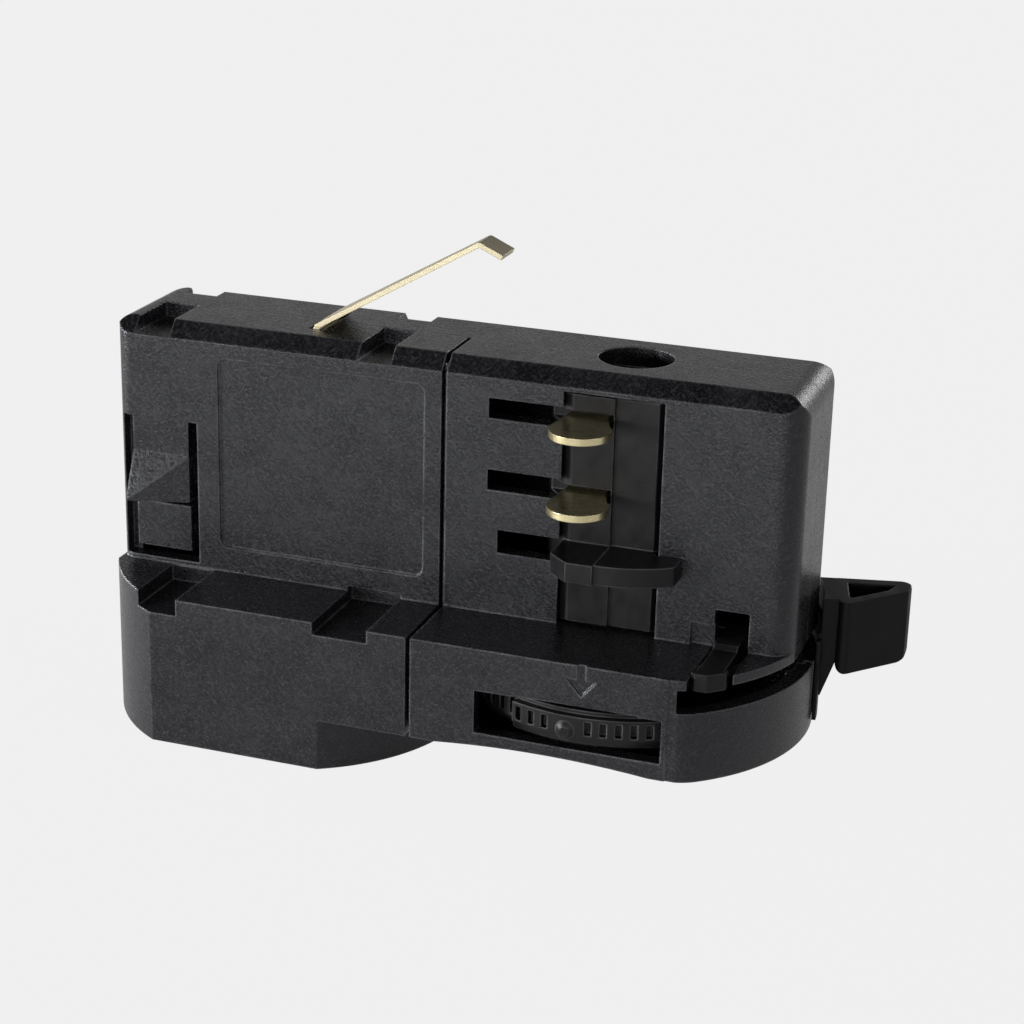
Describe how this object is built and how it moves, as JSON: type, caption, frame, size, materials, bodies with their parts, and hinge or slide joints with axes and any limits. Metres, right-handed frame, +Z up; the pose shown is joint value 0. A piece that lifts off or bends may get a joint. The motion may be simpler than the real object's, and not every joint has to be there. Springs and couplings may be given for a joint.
{
  "type": "track light adapter",
  "caption": "Black plug-in adapter for a ceiling light track, with a turning contact rotor and lever, a circuit selector wheel, a rising earth spring and a threaded stem seat.",
  "frame": {"origin": "on the axis of the stem's threaded hole, at the flat bottom of the boss", "axes": "+X runs along the body from the stem to the rotor and its lever, -Y is the front with the selector window and the label panel, +Z is up into the track"},
  "size_m": [0.0802, 0.0338, 0.052],
  "materials": {
    "housing": "glass-filled black moulding, semi-matte with faint flow streaks",
    "mechanism": "smooth satin black moulding",
    "contact_brass": "stamped, pale and clean",
    "steel": "zinc plated",
    "insulator": "off-white moulding"
  },
  "bodies": {
    "housing": {"rear_shell": "housing", "front_left_cover": "housing", "front_right_cover": "housing", "phase_pads": "contact_brass", "detent_spring": "steel", "phase_spring_1": "contact_brass", "phase_spring_2": "contact_brass", "phase_spring_3": "contact_brass", "neutral_spring": "contact_brass", "earth_strap": "contact_brass", "terminal_block": "insulator", "terminal_clamps": "contact_brass", "terminal_screws": "steel", "stem_nut": "steel"},
    "rotor": {"rotor_half_left": "mechanism", "rotor_half_right": "mechanism", "phase_blade_1": "contact_brass", "phase_blade_2": "contact_brass", "phase_blade_3": "contact_brass", "neutral_blade": "contact_brass", "locking_lever": "mechanism"},
    "selector": {"selector_wheel": "mechanism", "selector_wiper": "contact_brass"},
    "earth_contact": {"earth_spring": "contact_brass"},
    "interlock": {"interlock_tab": "mechanism"}
  },
  "joints": [
    {"name": "lever_turn", "type": "hinge", "parent": "housing", "child": "rotor", "pos_m": [0.0361, 0, 0.0159], "axis": [0, 0, 1], "range_deg": [-90, 0]},
    {"name": "selector_turn", "type": "hinge", "parent": "housing", "child": "selector", "pos_m": [0.0361, 0, 0.0094], "axis": [0, 0, 1], "range_deg": [-80, 0]},
    {"name": "earth_spring_flex", "type": "hinge", "parent": "housing", "child": "earth_contact", "pos_m": [0.0037, 0, 0.04185], "axis": [0, 1, 0], "range_deg": [0, 22], "stiffness_Nm_per_rad": 0.06},
    {"name": "interlock_press", "type": "slide", "parent": "housing", "child": "interlock", "axis": [0, 0, -1], "range_m": [0, 0.0005], "stiffness_N_per_m": 300}
  ]
}
